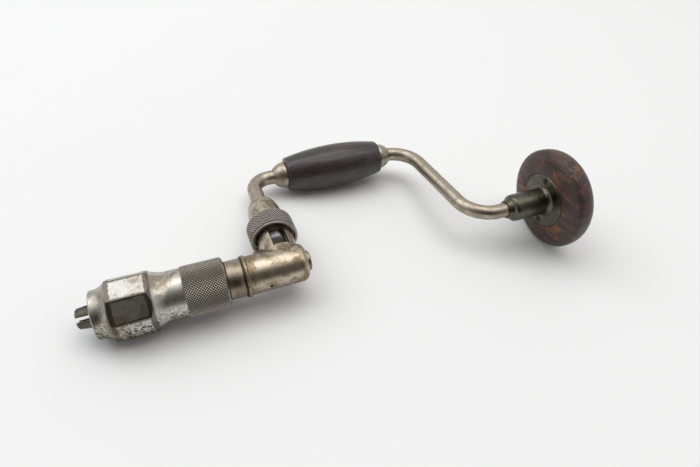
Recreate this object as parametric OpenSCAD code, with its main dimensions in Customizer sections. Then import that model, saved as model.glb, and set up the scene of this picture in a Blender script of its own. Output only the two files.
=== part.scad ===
// Bit brace with a ring-shifted ratchet and a two-jaw chuck, lying at rest on a flat surface.
// Lengths are in millimetres. Inside the model, x runs along the main axis from the chuck to the head,
// with x = 0 at the arm of the crank, y runs from the main axis to the handle, and z is square to both.

/* [Crank] */
// Distance from the main axis to the handle axis, half of the sweep
throw = 101.6; // [80:0.1:130]
// Diameter of the crank rod
rod_d = 11; // [9:0.1:13]
// Bend radius where the arm turns into the handle
arm_bend_r = 14.3; // [12:0.1:18]
// Bend radius of the two bends on the head side
head_bend_r = 23.4; // [18:0.1:26]
// Where the handle axis meets the head side arm
handle_corner = 136.6; // [134:0.1:160]
// Where the head side arm meets the main axis
head_corner = 145.2; // [138:0.1:165]

/* [Grip] */
// Where the wooden grip starts
grip_start = 28.5; // [26:0.1:34]
// Length of the wooden grip
grip_len = 79.3; // [60:0.1:80]
// Diameter of the grip at its belly
grip_d = 35; // [28:0.1:40]
// Diameter of the grip at its ends
grip_end_d = 26.2; // [23:0.1:28]
// Length of each ferrule
ferrule_len = 9.6; // [6:0.1:10]
// Diameter of a ferrule beside the grip
ferrule_d = 20.8; // [17:0.1:22]
// Diameter of a ferrule at its outer end
ferrule_tip_d = 12.9; // [12.4:0.1:16]

/* [Ratchet housing] */
// Diameter of the barrel around the main axis
barrel_d = 25.5; // [25:0.1:30]
// Length of the barrel in front of the arm axis
barrel_front = 27; // [25:0.1:32]
// Length of the barrel behind the arm axis
barrel_back = 13.9; // [13:0.1:18]
// Radius on the back edge of the barrel
barrel_round = 4.5; // [1:0.1:5]
// Diameter of the front flange
flange_d = 27.8; // [26:0.1:31]
// Thickness of the front flange
flange_t = 1.8; // [1:0.1:3]
// Diameter of the boss around the arm axis
boss_d = 24.8; // [22:0.1:26]
// Radius of the blend between the boss and the barrel
boss_blend = 6; // [3:0.1:7]
// Diameter of the neck that carries the shifter ring
neck_d = 22.8; // [21:0.1:23.4]
// Width of the window in the boss
window_w = 11; // [6:0.1:13]
// Distance from the main axis to the lower edge of the window
window_low = 10; // [9:0.1:16]
// Diameter of the oil hole
oil_d = 2.2; // [1:0.1:3]
// Where the oil hole lies ahead of the arm axis
oil_at = 12.6; // [9:0.1:15]
// Turn of the oil hole below the side away from the handle
oil_turn = 9; // [0:1:30]
// Diameter of the pin through the neck and the end of the rod
arm_pin_d = 2.4; // [2:0.1:3]

/* [Shifter ring] */
// Outer diameter of the ring
ring_d = 32.6; // [30:0.1:36]
// Where the ring starts above the main axis
ring_start = 26.9; // [25:0.1:28]
// Height of the ring
ring_len = 16.9; // [16:0.1:20]
// Height of the smooth lip at each edge of the ring
ring_lip = 1.5; // [1:0.1:3]
// Wall of the ring around its lower mouth
ring_wall = 1.7; // [1:0.1:2.2]
// Turn of the ring each way from the locked position
ring_turn = 25; // [15:1:30]

/* [Arm cap] */
// Diameter of the dome over the neck
cap_d = 24.4; // [22:0.1:28]
// Height of the dome
cap_h = 28; // [20:0.1:32]

/* [Ratchet] */
// Number of teeth on the ratchet gear
gear_teeth = 12; // [12:12:12]
// Diameter of the ratchet gear over its teeth
gear_d = 20.4; // [19:0.1:20.4]
// Depth of a gear tooth
tooth_h = 1.9; // [1.2:0.1:2]
// Width of the ratchet gear
gear_w = 12; // [10:0.1:13]
// Diameter of the round bar that both pawls are cut from
pawl_d = 14.8; // [13:0.1:15]
// Travel of a pawl out of the gear
pawl_lift = 2.4; // [2.2:0.1:2.6]
// Diameter of the spindle in the front bush
spindle_d = 16; // [14:0.1:17]
// Diameter of the spindle in the gear
gear_seat_d = 13; // [12:0.1:13.4]
// Diameter of the spindle in the rear bearing
tail_d = 12; // [10:0.1:12]

/* [Chuck] */
// Where the front rim of the shell lies, ahead of the arm axis
nose_at = 115.5; // [113:0.1:118]
// Diameter of the front rim of the shell
nose_d = 29.8; // [28:0.1:32]
// Where the octagon starts, ahead of the arm axis
oct_at = 104.4; // [102:0.1:106]
// Length of the octagon
oct_len = 20.9; // [16:0.1:22]
// Width of the octagon across its flats
oct_af = 36.4; // [35:0.1:38]
// Depth worn off the corners of the octagon
corner_wear = 0.1; // [0.05:0.01:0.4]
// Length of the straight rim in front of the nose's flare
nose_rim = 1.9; // [1:0.1:4]
// Radius of the hollow flare between the nose and the octagon
nose_flare_r = 9.5; // [8:0.1:12]
// Diameter of the waist behind the octagon
waist_d = 31; // [29:0.1:31.2]
// Length of the hollow flare between the octagon and the waist
waist_flare = 11; // [8:0.1:13]
// Radius of the hollow flare between the octagon and the waist
waist_flare_r = 17.8; // [14:0.1:24]
// Diameter of the knurled sleeve
sleeve_d = 31.7; // [31.4:0.1:34]
// Length of the knurled sleeve
sleeve_len = 25.2; // [20:0.1:27]
// Where the shell ends behind, ahead of the arm axis
shell_end = 38.4; // [38.4:0.1:41]
// Diameter of the thread between the spindle and the shell
thread_d = 22; // [20:0.1:22.4]
// How far the front end of the stem lies behind the front rim of the shell
stem_set = 35.5; // [33:0.1:37]
// Depth of the slot that the jaws slide in
slot_deep = 27; // [24:0.1:30]
// Width of the slot that the jaws slide in
slot_w = 12.6; // [10:0.1:14]
// Width of the square socket for the small end of a tang
socket_w = 7; // [5:0.1:8]
// Depth of the square socket
socket_deep = 8; // [5:0.1:9]
// Length of the cone inside the shell
cone_len = 39.5; // [38:0.1:42]
// Diameter of the collar between the chuck and the ratchet housing
collar_d = 25.3; // [24:0.1:27]

/* [Jaws] */
// Length of the closed jaws past the front rim
jaw_out = 9; // [5:0.1:12]
// Diameter of the closed jaws at the front rim
jaw_d = 14.4; // [13:0.1:15]
// Half angle of the cone that closes the jaws
jaw_angle = 7; // [5:0.1:8]
// Gap between the closed jaws
jaw_gap = 3; // [2:0.1:3.5]
// Half width of the groove along each jaw
groove_half = 3.4; // [3:0.1:3.6]
// Depth of the groove along each jaw
groove_deep = 2.6; // [2:0.1:2.8]
// Length of the narrow groove inside the shell, behind its front rim
groove_in = 19; // [15:0.1:22]
// Length of the leaves that spread the jaws
leaf_len = 14; // [10:0.1:16]
// Travel of a jaw along the cone
jaw_travel = 8; // [4:0.1:8]
// Turn of the jaws about the main axis
jaw_roll = -45; // [-90:1:90]

/* [Head] */
// Where the quill starts behind the arm axis
quill_at = 172.5; // [171:0.1:176]
// Diameter of the quill sleeve
quill_d = 20.8; // [20:0.1:24]
// Where the front face of the head plate lies
plate_at = 206.7; // [205:0.1:212]
// Diameter of the head plate
plate_d = 42.6; // [40:0.1:48]
// Thickness of the head plate
plate_t = 3.3; // [2.5:0.1:4]
// Radius of the fillet between the sleeve and the plate
plate_fillet = 3.6; // [2:0.1:4]
// Diameter of the wooden pad
pad_d = 78; // [68:0.1:84]
// Thickness of the wooden pad
pad_t = 28; // [24:0.1:32]
// Share of the pad's thickness in front of its widest circle
pad_front = 7; // [5:0.1:9]
// Diameter of the circle that the head screws stand on
screw_circle = 34; // [33:0.1:35]
// Diameter of a head screw
screw_d = 3; // [2:0.1:3.4]
// Length of a head screw
screw_len = 15; // [10:0.1:18]
// Turn of the two head screws about the main axis
screw_turn = -6; // [-90:1:90]
// Number of bearing balls in the head
balls = 10; // [6:1:12]
// Diameter of the pin through the head collar
collar_pin_d = 2; // [1.5:0.1:2.5]
// Diameter of a bearing ball in the head
ball_d = 2.6; // [2:0.1:2.8]

/* [Fits] */
// Radial clearance of a shaft that turns in a bore
running = 0.05; // [0.02:0.01:0.1]
// Radial clearance of pieces that are fixed to each other
seat = 0.02; // [0.01:0.01:0.04]
// Gap between faces that pass each other
clear = 0.3; // [0.2:0.05:0.4]

/* [Hidden] */
$fn = 96;

rod_r = rod_d / 2;
// The head side arm leans by this angle from the handle axis.
lean = atan2(throw, head_corner - handle_corner);
bend_run = head_bend_r * tan(lean / 2);
arm_run = norm([head_corner - handle_corner, throw]) - 2 * bend_run;
grip_end = grip_start + grip_len;

// Widest circle of the pad, and the points on which the brace lies.
pad_face = plate_at + 0.2;
pad_wide = pad_face + pad_front;
oct_r = oct_af / 2 / cos(22.5);
grip_belly = grip_start + grip_len * 0.51;
pitch = atan((pad_d - oct_af) / 2 / (pad_wide + oct_at));
axis_h = pad_d / 2 * cos(pitch) - pad_wide * sin(pitch);
roll = asin((grip_d / 2 * cos(pitch) - axis_h - grip_belly * sin(pitch)) / (throw * cos(pitch)));

// The origin is below the middle of the outline.
tip_r = jaw_d / 2 - jaw_out * tan(jaw_angle);
low_x = -(nose_at + jaw_out) * cos(pitch) - tip_r * sin(pitch);
high_x = (pad_face + pad_t) * cos(pitch);
low_y = -pad_d / 2;
high_y = throw * cos(roll) + grip_d / 2;

boss_top = ring_start + 3.1;
neck_top = ring_start + ring_len + 0.2;
spigot_len = 6.6;
rod_low = neck_top - spigot_len + 2;
pawl_top = neck_top - 10;
pawl_mid_w = pawl_d / 4;
stud_y = pawl_top - 1.6;
stud_d = 2.1;
chamber_r = gear_d / 2 + 0.4;
gear_half = gear_w / 2;
step = 360 / gear_teeth;
key_w = 3;
washer_t = 1.1;
collar_back = barrel_front + washer_t + 0.2;
collar_front = shell_end - clear;
stem_front = nose_at - stem_set;
slot_back = stem_front - slot_deep;
slot_half = slot_w / 2;
mouth_r = jaw_d / 2 + 0.4;
cavity_back = nose_at - cone_len;
wide_back = stem_front + jaw_travel + 0.5;
jaw_back = slot_back + jaw_travel + 1;
tang_r = groove_half + 1.1;
sleeve_front = shell_end + 0.7 + sleeve_len;
ring_bore = neck_d / 2 + running;
detent_d = 2.8;
detent_y = neck_top - 3.4;
quill_chamber = quill_d / 2 - 1.8;
collar_t = 3.5;
collar_at = plate_at - 9.7;
ball_at = collar_at + collar_t + ball_d / 2 + 0.02;
race_at = ball_at + ball_d / 2 + 0.02;
rod_end = collar_at + collar_t + ball_d / 2;
ball_circle = (rod_d + quill_chamber * 2) / 4;
arm_pin_y = detent_y - 0.1;

steel = [0.62, 0.59, 0.52];
bright = [0.74, 0.71, 0.64];
bronze = [0.45, 0.36, 0.25];
dark = [0.30, 0.29, 0.25];
rosewood = [0.28, 0.13, 0.10];

// Points on an arc about a centre, in the plane of a profile.
function arc(c, r, from, to, n = 10) = [for (i = [0:n])
    c + r * [cos(from + (to - from) * i / n), sin(from + (to - from) * i / n)]];

// Places what turns about the main axis.
module on_axis() {
    translate([-(low_x + high_x) / 2, -(low_y + high_y) / 2, axis_h]) rotate([0, -pitch, 0]) children();
}

// Places what belongs to the crank, whose plane dips to the handle.
module on_crank() {
    on_axis() rotate([roll, 0, 0]) children();
}

// Solid of revolution about x from points [x, radius].
module turned(points) {
    rotate([0, 90, 0]) rotate_extrude() polygon([for (p = points) [p[1], p[0]]]);
}

// Solid of revolution about y from points [y, radius].
module turned_up(points) {
    rotate([-90, 0, 0]) rotate_extrude() polygon([for (p = points) [p[1], p[0]]]);
}

// Cylinder along x.
module bar(from, to, r) {
    translate([from, 0, 0]) rotate([0, 90, 0]) cylinder(h = to - from, r = r);
}

// Cylinder along y.
module post(from, to, r) {
    translate([0, from, 0]) rotate([-90, 0, 0]) cylinder(h = to - from, r = r);
}

// Bend of a rod about a centre, turned through some degrees. Its ends sink a little into the straight
// stretches, and it is thinner than they are by a hair, so that each stretch keeps a clean end.
module bend(centre, bend_r, from, turn, r) {
    tuck = 0.3 / bend_r * 180 / PI;
    translate(centre) rotate([0, 0, from - tuck])
        rotate_extrude(angle = turn + 2 * tuck) translate([bend_r, 0]) circle(r - 0.02);
}

// Bent rod of radius r, from the neck to the head.
module rod_shape(r) {
    post(rod_low, throw - arm_bend_r, r);
    bend([arm_bend_r, throw - arm_bend_r, 0], arm_bend_r, 90, 90, r);
    translate([0, throw, 0]) bar(arm_bend_r, handle_corner - bend_run, r);
    bend([handle_corner - bend_run, throw - head_bend_r, 0], head_bend_r, 90 - lean, lean, r);
    translate([handle_corner, throw, 0]) rotate([0, 0, -lean]) bar(bend_run, bend_run + arm_run, r);
    bend([head_corner + bend_run, head_bend_r, 0], head_bend_r, -90 - lean, lean, r);
    bar(head_corner + bend_run, rod_end, r);
}

module crank_rod() {
    color(steel) on_crank() difference() {
        rod_shape(rod_r);
        translate([collar_at + collar_t / 2, 0, 0])
            cylinder(h = rod_d * 2, d = collar_pin_d + 2 * seat, center = true);
        arm_pin_hole();
    }
}

// Hole through the rod and one side of the neck for the arm pin.
module arm_pin_hole() {
    translate([-rod_d, arm_pin_y, 0]) rotate([0, 90, 0])
        cylinder(h = rod_d + neck_d / 2 + 1, d = arm_pin_d + 2 * seat);
}

// Blend from the boss down to the front of the barrel, rounded over like the barrel below it.
module boss_blend_shape() {
    foot = boss_d / 2 + boss_blend;
    rise = barrel_d / 2;
    crown = rise * 0.47;
    crown_at = rise + boss_blend - crown;
    side = asin((rise - crown) / crown_at);
    sides = [for (p = [[0, rise], [crown_at, crown]]) [p[0] + p[1] * sin(side), p[1] * cos(side)]];
    intersection() {
        translate([0, 0, -rise]) linear_extrude(2 * rise) polygon(concat([[0, 0], [-foot, 0]],
            arc([-foot, rise + boss_blend], boss_blend, -90, 0, 12), [[0, rise + boss_blend]]));
        union() {
            bar(-foot - 1, 0, rise);
            translate([0, crown_at, 0]) bar(-foot - 1, 0, crown);
            translate([-foot - 1, 0, 0]) rotate([90, 0, 90]) linear_extrude(foot + 1) polygon([
                sides[0], sides[1], [sides[1][0], -sides[1][1]], [sides[0][0], -sides[0][1]]]);
        }
    }
}

module ratchet_housing() {
    round_x = barrel_back - barrel_round;
    groove = barrel_front - flange_t;
    color(bright) on_crank() difference() {
        union() {
            turned(concat([[-barrel_front, 0], [-barrel_front, flange_d / 2 - 0.3],
                [-barrel_front + 0.3, flange_d / 2], [-groove - 0.3, flange_d / 2],
                [-groove, flange_d / 2 - 0.3], [-groove + 0.4, barrel_d / 2]],
                arc([round_x, barrel_d / 2 - barrel_round], barrel_round, 90, 0), [[barrel_back, 0]]));
            post(0, boss_top, boss_d / 2);
            post(0, neck_top, neck_d / 2);
            boss_blend_shape();
        }
        // Bore for the bush and the gear, and the rear bearing.
        bar(-barrel_front - 1, gear_half + clear, chamber_r);
        bar(0, barrel_back + 1, tail_d / 2 + running);
        // Bore for the pawls, open to the neck's mouth.
        post(0, neck_top + 1, pawl_d / 2 + running);
        // Window over the upper pawl.
        translate([-4.5, window_low, 5.5])
            cube([window_w, boss_top - 1.6 - window_low, boss_d]);
        // Slots for the studs of the pawls.
        translate([-stud_d / 2 - 0.2, stud_y - stud_d / 2 - clear, -neck_d])
            cube([stud_d + 0.4, stud_d + pawl_lift + 2 * clear, 2 * neck_d]);
        // Hole for the arm pin and pocket for the detent.
        arm_pin_hole();
        translate([0, detent_y, 0]) rotate([0, -90, 0]) cylinder(h = neck_d, r = detent_d / 2 + running);
        oil_hole();
    }
}

// Hole on the underside of the barrel that oils the bush.
module oil_hole() {
    translate([-oil_at, 0, 0]) rotate([90 + oil_turn, 0, 0]) cylinder(h = barrel_d, d = oil_d);
}

module front_bush() {
    color(bronze) on_crank() difference() {
        bar(-barrel_front, -gear_half - clear, chamber_r - seat);
        bar(-barrel_front - 1, 0, spindle_d / 2 + running);
        oil_hole();
    }
}

module thrust_washer() {
    color(dark) on_crank() difference() {
        bar(-barrel_front - washer_t - 0.1, -barrel_front - 0.1, flange_d / 2 - 0.5);
        bar(-barrel_front - 3, 0, spindle_d / 2 + running);
    }
}

// Dome over the neck, with a spigot that holds the end of the rod.
module arm_cap() {
    n = 14;
    base = neck_top + 0.1;
    dome = [for (i = [0:n]) let (a = 90 * i / n)
        [base + cap_h * pow(sin(a), 2 / 3), cap_d / 2 * pow(cos(a), 2 / 3)]];
    color(bright) on_crank() difference() {
        union() {
            turned_up(concat([[base, 0]], dome));
            post(neck_top - spigot_len, base + 1, pawl_d / 2 + running - seat);
        }
        rod_shape(rod_r + seat);
        arm_pin_hole();
        translate([0, detent_y, 0]) rotate([0, -90, 0]) cylinder(h = neck_d, r = detent_d / 2 + running);
    }
}

module arm_pin() {
    color(steel) on_crank() translate([-rod_r, arm_pin_y, 0])
        rotate([0, 90, 0]) cylinder(h = rod_r + neck_d / 2 - 0.2, d = arm_pin_d);
}

module shifter_ring() {
    top = ring_start + ring_len;
    mouth = ring_d / 2 - ring_wall;
    band = ring_d / 2 - 0.2;
    color(steel) on_crank() difference() {
        turned_up([[ring_start, mouth], [ring_start, ring_d / 2 - 0.5], [ring_start + 0.5, ring_d / 2],
            [ring_start + ring_lip, ring_d / 2], [ring_start + ring_lip + 0.2, band],
            [top - ring_lip - 0.2, band], [top - ring_lip, ring_d / 2], [top - 1, ring_d / 2],
            [top, ring_d / 2 - 1], [top, ring_bore], [boss_top + clear, ring_bore],
            [boss_top + clear, mouth]]);
        // Groove for the studs of the pawls.
        difference() {
            post(boss_top + clear, stud_y + stud_d / 2 + pawl_lift + clear, neck_d / 2 + 1.8);
            post(0, top, neck_d / 2 - 1);
        }
        // Track for the detent ball, which stops the ring at each end of its turn, with three seats.
        translate([0, detent_y, 0]) rotate([-90, 0, 0]) {
            rotate([0, 0, 180 - ring_turn]) rotate_extrude(angle = 2 * ring_turn)
                translate([neck_d / 2 - 0.5, 0]) circle(detent_d / 2 + 0.15, $fn = 32);
            for (a = [-ring_turn, 0, ring_turn]) rotate([0, 0, 180 + a])
                translate([neck_d / 2 - 0.5, 0, 0]) sphere(detent_d / 2 + 0.35, $fn = 32);
        }
    }
}

module detent_ball() {
    color(steel) on_crank() translate([-neck_d / 2 + 0.5, detent_y, 0]) sphere(detent_d / 2);
}

// Helix of round wire about z, closed at both ends.
module coil(r, wire, turns, height) {
    sides = 6;
    per_turn = 10;
    rings = turns * per_turn;
    tip = [for (i = [0:rings]) let (a = 360 * i / per_turn)
        for (k = [0:sides - 1]) let (b = 360 * k / sides, rr = r + wire / 2 * cos(b))
            [rr * cos(a), rr * sin(a), wire / 2 + (height - wire) * i / rings + wire / 2 * sin(b)]];
    skin = [for (i = [0:rings - 1]) for (k = [0:sides - 1])
        let (m = (k + 1) % sides, p = i * sides, q = p + sides)
            each [[p + k, q + k, q + m], [p + k, q + m, p + m]]];
    polyhedron(tip, concat(skin, [[for (k = [0:sides - 1]) k],
        [for (k = [sides - 1:-1:0]) rings * sides + k]]));
}

module detent_spring() {
    far = rod_r + 0.3;
    near = neck_d / 2 - 0.5 - detent_d / 2;
    color(dark) on_crank() translate([-near + 0.05, detent_y, 0]) rotate([0, 90, 0])
        coil(0.95, 0.35, 3, near - far);
}

// Upper pawl, cut from one half of a round bar, with one tooth for the gear.
module pawl_shape() {
    root = gear_d / 2 - tooth_h + 0.4;
    hollow_r = chamber_r + clear;
    top = hollow_r + 0.3;
    mid = step / 2;
    difference() {
        union() {
            difference() {
                intersection() {
                    post(0, pawl_top, pawl_d / 2);
                    translate([-pawl_d, 0, 0.15]) cube([2 * pawl_d, pawl_top, pawl_d]);
                }
                bar(-pawl_d, pawl_d, hollow_r);
            }
            // Tooth between two teeth of the gear.
            rotate([0, 90, 0]) translate([0, 0, -4.5]) linear_extrude(9) polygon([
                for (p = [[root, mid - 5], [root, mid + 5], [top, mid + 7.2], [top, mid - 7.2]])
                    [-p[0] * sin(p[1]), p[0] * cos(p[1])]]);
            translate([0, stud_y, 0]) cylinder(h = neck_d / 2 + 1.3, r = stud_d / 2);
        }
        // Steep bevel from the bar's outside to the tooth.
        translate([-pawl_d, 0.6, 0]) rotate([atan(1 / 3), 0, 0])
            translate([0, -pawl_top, 0]) cube([2 * pawl_d, pawl_top, 3 * pawl_top]);
        translate([0, pawl_top - 10, pawl_mid_w]) rotate([-90, 0, 0]) cylinder(h = 11, r = 1.9);
        translate([-pawl_d, 0, -pawl_d]) cube([2 * pawl_d, 2 * pawl_top, pawl_d + 0.15]);
    }
}

module pawl_upper() {
    color(bright) on_crank() pawl_shape();
}

module pawl_lower() {
    color(bright) on_crank() mirror([0, 0, 1]) pawl_shape();
}

module pawl_spring() {
    from = pawl_top - 9.9;
    translate([0, from, pawl_mid_w]) rotate([-90, 0, 0])
        coil(1.4, 0.45, 7, neck_top - spigot_len - 0.1 - from);
}

module pawl_spring_upper() {
    color(dark) on_crank() pawl_spring();
}

module pawl_spring_lower() {
    color(dark) on_crank() mirror([0, 0, 1]) pawl_spring();
}

// Outline of the ratchet gear, with a tooth on the line to the arm.
module gear_outline() {
    tip = gear_d / 2;
    root = tip - tooth_h;
    polygon([for (i = [0:gear_teeth - 1]) for (p = [[root, -8.3], [tip, -5.3], [tip, 5.3], [root, 8.3]])
        let (a = 90 + i * step + p[1]) p[0] * [cos(a), sin(a)]]);
}

module ratchet_gear() {
    color(dark) on_crank() difference() {
        translate([-gear_half, 0, 0]) rotate([90, 0, 90]) linear_extrude(gear_w) gear_outline();
        bar(-gear_w, gear_w, gear_seat_d / 2 + seat);
        key_shape(seat);
    }
}

// Square key below the spindle, grown by a clearance.
module key_shape(grow) {
    half = key_w / 2 + grow;
    translate([-gear_half, -gear_seat_d / 2 - half, -half]) cube([gear_w, 2 * half, 2 * half]);
}

module gear_key() {
    color(steel) on_crank() intersection() {
        key_shape(0);
        bar(-gear_half + 0.1, gear_half - 0.1, gear_d);
    }
}

// Spindle with the threaded stem that carries the shell and guides the jaws.
module spindle() {
    color(bronze) on_axis() difference() {
        turned([[-stem_front, 0], [-stem_front, thread_d / 2 - 1], [-stem_front + 1, thread_d / 2],
            [-collar_front, thread_d / 2], [-collar_front, collar_d / 2 - 0.4],
            [-collar_front + 0.4, collar_d / 2], [-collar_back, collar_d / 2],
            [-collar_back, spindle_d / 2], [-gear_half - clear, spindle_d / 2],
            [-gear_half - clear, gear_seat_d / 2], [gear_half + clear / 2, gear_seat_d / 2],
            [gear_half + clear / 2, tail_d / 2], [barrel_back - 0.3, tail_d / 2], [barrel_back - 0.3, 0]]);
        // Slot for the jaws and square socket for the tang of a bit.
        rotate([jaw_roll, 0, 0]) {
            translate([-stem_front - 1, -slot_half, -thread_d])
                cube([stem_front - slot_back + 1, 2 * slot_half, 2 * thread_d]);
            translate([-slot_back - 1, -socket_w / 2, -socket_w / 2])
                cube([socket_deep + 1, socket_w, socket_w]);
        }
        rotate([roll, 0, 0]) key_shape(seat);
        bar(barrel_back - 9, barrel_back + 1, 2.5 + seat);
    }
}

module end_screw() {
    head = barrel_back + 0.3;
    color(steel) on_axis() difference() {
        turned([[barrel_back - 8.5, 0], [barrel_back - 8.5, 2.5], [head, 2.5], [head, 6.8],
            [head + 1.6, 6.8], [head + 2.2, 6], [head + 2.4, 0]]);
        translate([head + 1.4, -0.6, -10]) cube([4, 1.2, 20]);
    }
}

// Half of a section through the shell, with a hollow flare at each end of the octagon.
module shell_section() {
    oct_back = oct_at - oct_len;
    blank_r = oct_r - corner_wear;
    lip = 0.6;
    difference() {
        polygon([[0, -nose_at], [nose_d / 2 - lip, -nose_at], [nose_d / 2, -nose_at + lip],
            [nose_d / 2, -nose_at + nose_rim], [blank_r, -nose_at + nose_rim],
            [blank_r, -oct_back + waist_flare], [waist_d / 2, -oct_back + waist_flare],
            [waist_d / 2, -sleeve_front], [sleeve_d / 2 - 0.1, -sleeve_front],
            [sleeve_d / 2, -sleeve_front + 0.1], [sleeve_d / 2, -shell_end - 0.9],
            [sleeve_d / 2 - 1.6, -shell_end], [0, -shell_end]]);
        intersection() {
            translate([nose_d / 2 + nose_flare_r - 0.05, -nose_at + nose_rim]) circle(nose_flare_r);
            translate([0, -nose_at + nose_rim]) square([2 * oct_r, nose_flare_r]);
        }
        intersection() {
            translate([waist_d / 2 + waist_flare_r - 0.05, -oct_back + waist_flare]) circle(waist_flare_r);
            translate([0, -oct_back - 1]) square([2 * oct_r, waist_flare + 1]);
        }
    }
}

module chuck_shell() {
    cone_r = mouth_r + (nose_at - cavity_back) * tan(jaw_angle);
    color(bright) on_axis() difference() {
        intersection() {
            rotate([0, 90, 0]) rotate_extrude() shell_section();
            rotate([0, 90, 0]) rotate([0, 0, 22.5]) translate([0, 0, -nose_at - 1])
                cylinder(h = nose_at, r = oct_r, $fn = 8);
        }
        turned([[-nose_at - 1, 0], [-nose_at - 1, mouth_r + 0.6], [-nose_at + 0.4, mouth_r + 0.05],
            [-cavity_back, cone_r], [-cavity_back + 1.4, thread_d / 2 + running],
            [0, thread_d / 2 + running], [0, 0]]);
    }
}

// Jaw above the main axis, whose outside is the cone of the shell.
module jaw_shape() {
    tip = nose_at + jaw_out;
    slope = tan(jaw_angle);
    narrow_r = thread_d / 2 - jaw_travel * sin(jaw_angle) - 0.3;
    difference() {
        union() {
            turned([[-tip, 0], [-tip, tip_r - 0.8], [-tip + 0.8, tip_r + 0.1],
                [-wide_back, jaw_d / 2 + (nose_at - wide_back) * slope], [-wide_back, 0]]);
            intersection() {
                bar(-wide_back - 1, -jaw_back, narrow_r);
                translate([-wide_back - 1, -slot_half + 0.1, 0])
                    cube([wide_back, 2 * slot_half - 0.2, thread_d]);
            }
        }
        translate([-tip - 1, -thread_d, -thread_d]) cube([tip, 2 * thread_d, thread_d + jaw_gap / 2]);
        // Groove for the tang of a bit, and the wider pocket behind it.
        translate([-tip - 1, 0, jaw_gap / 2]) rotate([90, 0, 90]) linear_extrude(tip)
            polygon([[-groove_half, -0.01], [groove_half, -0.01], [0, groove_deep]]);
        translate([-nose_at + groove_in, -tang_r, 0]) cube([nose_at, 2 * tang_r, tang_r]);
    }
}

module jaw_upper() {
    color(steel) on_axis() rotate([jaw_roll, 0, 0]) jaw_shape();
}

module jaw_lower() {
    color(steel) on_axis() rotate([jaw_roll + 180, 0, 0]) jaw_shape();
}

// Two bent leaves that spread the jaws, one on each side of the tang.
module jaw_springs() {
    open = atan((jaw_gap / 2 - 0.45) / leaf_len);
    color(dark) on_axis() rotate([jaw_roll, 0, 0]) for (side = [-1, 1])
        translate([-jaw_back - 1, side * (tang_r + 0.9), 0]) {
            for (tilt = [-open, open]) rotate([0, tilt, 0])
                translate([-leaf_len, -0.6, -0.2]) cube([leaf_len, 1.2, 0.4]);
            rotate([90, 0, 0]) cylinder(h = 1.2, r = 0.5, center = true, $fn = 24);
        }
}

// Bell-shaped collar on the rod, from its outer end to the face beside the grip.
module ferrule(outer, inner) {
    way = sign(inner - outer);
    n = 8;
    points = [for (i = [0:n]) let (s = i / n)
        [outer + way * (ferrule_len - 0.6) * s,
            ferrule_tip_d / 2 + (ferrule_d - ferrule_tip_d) / 2 * sin(90 * pow(s, 0.9))]];
    difference() {
        translate([0, throw, 0])
            turned(concat([[outer, 0]], points, [[inner, ferrule_d / 2 - 0.2], [inner, 0]]));
        rod_shape(rod_r + seat);
    }
}

module front_ferrule() {
    inner = grip_start - clear;
    color(steel) on_crank() ferrule(inner - ferrule_len, inner);
}

module rear_ferrule() {
    inner = grip_end + clear;
    color(steel) on_crank() ferrule(inner + ferrule_len, inner);
}

// Barrel-shaped wooden grip that turns on the rod.
module grip() {
    n = 20;
    end_r = grip_end_d / 2;
    swell = grip_d / 2 - end_r;
    fore = grip_belly - grip_start;
    aft = grip_end - grip_belly;
    side = [for (i = [0:n]) let (x = grip_start + 0.4 + (grip_len - 1.9) * i / n, d = x - grip_belly)
        [x, grip_d / 2 - swell * pow(d / (d < 0 ? fore : aft), 2)]];
    color(rosewood) on_crank() difference() {
        translate([0, throw, 0]) turned(concat([[grip_start, 0], [grip_start, end_r - 0.3]], side,
            [[grip_end - 0.5, end_r - 0.2], [grip_end, end_r - 1.2], [grip_end, 0]]));
        translate([0, throw, 0]) bar(grip_start - 1, grip_end + 1, rod_r + running);
    }
}

// Sleeve that turns on the end of the rod, with the plate that the pad is screwed to.
module head_quill() {
    r = quill_d / 2;
    back = plate_at + plate_t;
    color(dark) on_crank() difference() {
        turned(concat([[quill_at, 0], [quill_at, rod_r + 1.3]],
            arc([quill_at + 7, r - 3.6], 3.6, 160, 90, 5),
            [[plate_at - plate_fillet, r]],
            arc([plate_at - plate_fillet, r + plate_fillet], plate_fillet, -90, 0, 6),
            [[plate_at, plate_d / 2 - 0.5], [plate_at + 0.5, plate_d / 2], [back, plate_d / 2],
            [back, 0]]));
        bar(quill_at - 1, back, rod_r + running);
        bar(collar_at - clear, back + 1, quill_chamber);
        screw_holes(seat);
    }
}

// Countersunk screws through the plate into the pad, grown by a clearance.
module screw_shape(grow) {
    top = screw_d / 2 + 1.2 + grow;
    turned([[plate_at - 0.01, 0], [plate_at - 0.01, top], [plate_at + 0.3, top],
        [plate_at + 1.5, screw_d / 2 + grow], [plate_at + screw_len + grow, screw_d / 2 + grow],
        [plate_at + screw_len + grow, 0]]);
}

module screw_holes(grow) {
    for (a = [0, 180]) rotate([a + screw_turn, 0, 0]) translate([0, 0, screw_circle / 2]) screw_shape(grow);
}

module head_screws() {
    color(dark) on_crank() difference() {
        screw_holes(0);
        for (a = [0, 180]) rotate([a + screw_turn, 0, 0])
            translate([plate_at - 1, -0.35, screw_circle / 2 - 4]) cube([1.6, 0.7, 8]);
    }
}

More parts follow.
